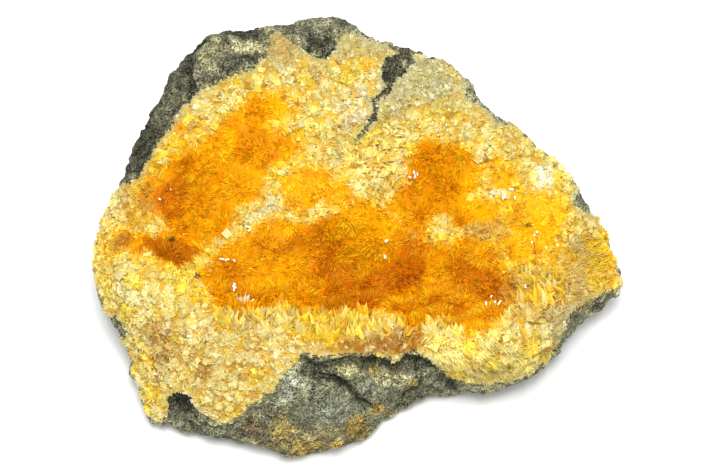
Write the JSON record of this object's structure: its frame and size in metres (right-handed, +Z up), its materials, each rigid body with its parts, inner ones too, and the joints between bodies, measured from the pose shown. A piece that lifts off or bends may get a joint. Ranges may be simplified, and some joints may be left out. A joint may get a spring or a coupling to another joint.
{
  "type": "calcite crystal cluster",
  "caption": "Loose lump of basalt, broken open across a shallow hollow that is lined to over its rim with a crust of small yellow and orange calcite crystals.",
  "frame": {"origin": "centre of the whole specimen's bounding box, on the ground under its flat foot", "axes": "+X along the specimen's length, to the right of someone who looks into the hollow; +Y away from them; +Z up, across the lump from its flat foot to its hollow"},
  "size_m": [0.1426, 0.1142, 0.0442],
  "materials": {
    "basalt": "rough broken basalt, dark grey-green with pale grains and ochre stains",
    "calcite": "see-through yellow to deep orange crystals with bright glassy faces"
  },
  "bodies": {
    "root": {"basalt_matrix": "basalt", "calcite_crust": "calcite"}
  },
  "joints": []
}
